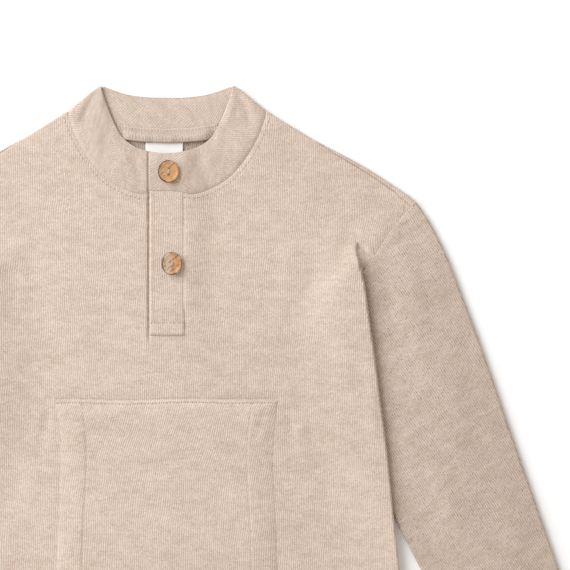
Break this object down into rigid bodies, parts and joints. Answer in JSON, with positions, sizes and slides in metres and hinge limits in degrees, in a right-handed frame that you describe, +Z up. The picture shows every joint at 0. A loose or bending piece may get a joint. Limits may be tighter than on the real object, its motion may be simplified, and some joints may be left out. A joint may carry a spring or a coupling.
{
  "type": "henley sweater laid flat",
  "caption": "Toddler's long-sleeved knit henley, laid flat: stand collar, buttoned half placket and a kangaroo pocket on the front.",
  "frame": {"origin": "middle of the laid garment's box, on the surface that it lies on", "axes": "+X across the garment towards the wearer's left sleeve, +Y up to the neck, +Z up from the surface"},
  "size_m": [0.5414, 0.39, 0.0144],
  "materials": {
    "knit": "fine-rib melange knit, matte, soft",
    "label_cloth": "woven satin ribbon, blank",
    "coconut_shell": "turned and lightly polished, darker rim"
  },
  "bodies": {
    "root": {"back": "knit", "front": "knit", "sleeve_left": "knit", "sleeve_right": "knit", "collar": "knit", "placket_upper": "knit", "placket_under": "knit", "pocket": "knit", "label": "label_cloth", "button_1": "coconut_shell", "button_2": "coconut_shell"}
  },
  "joints": []
}
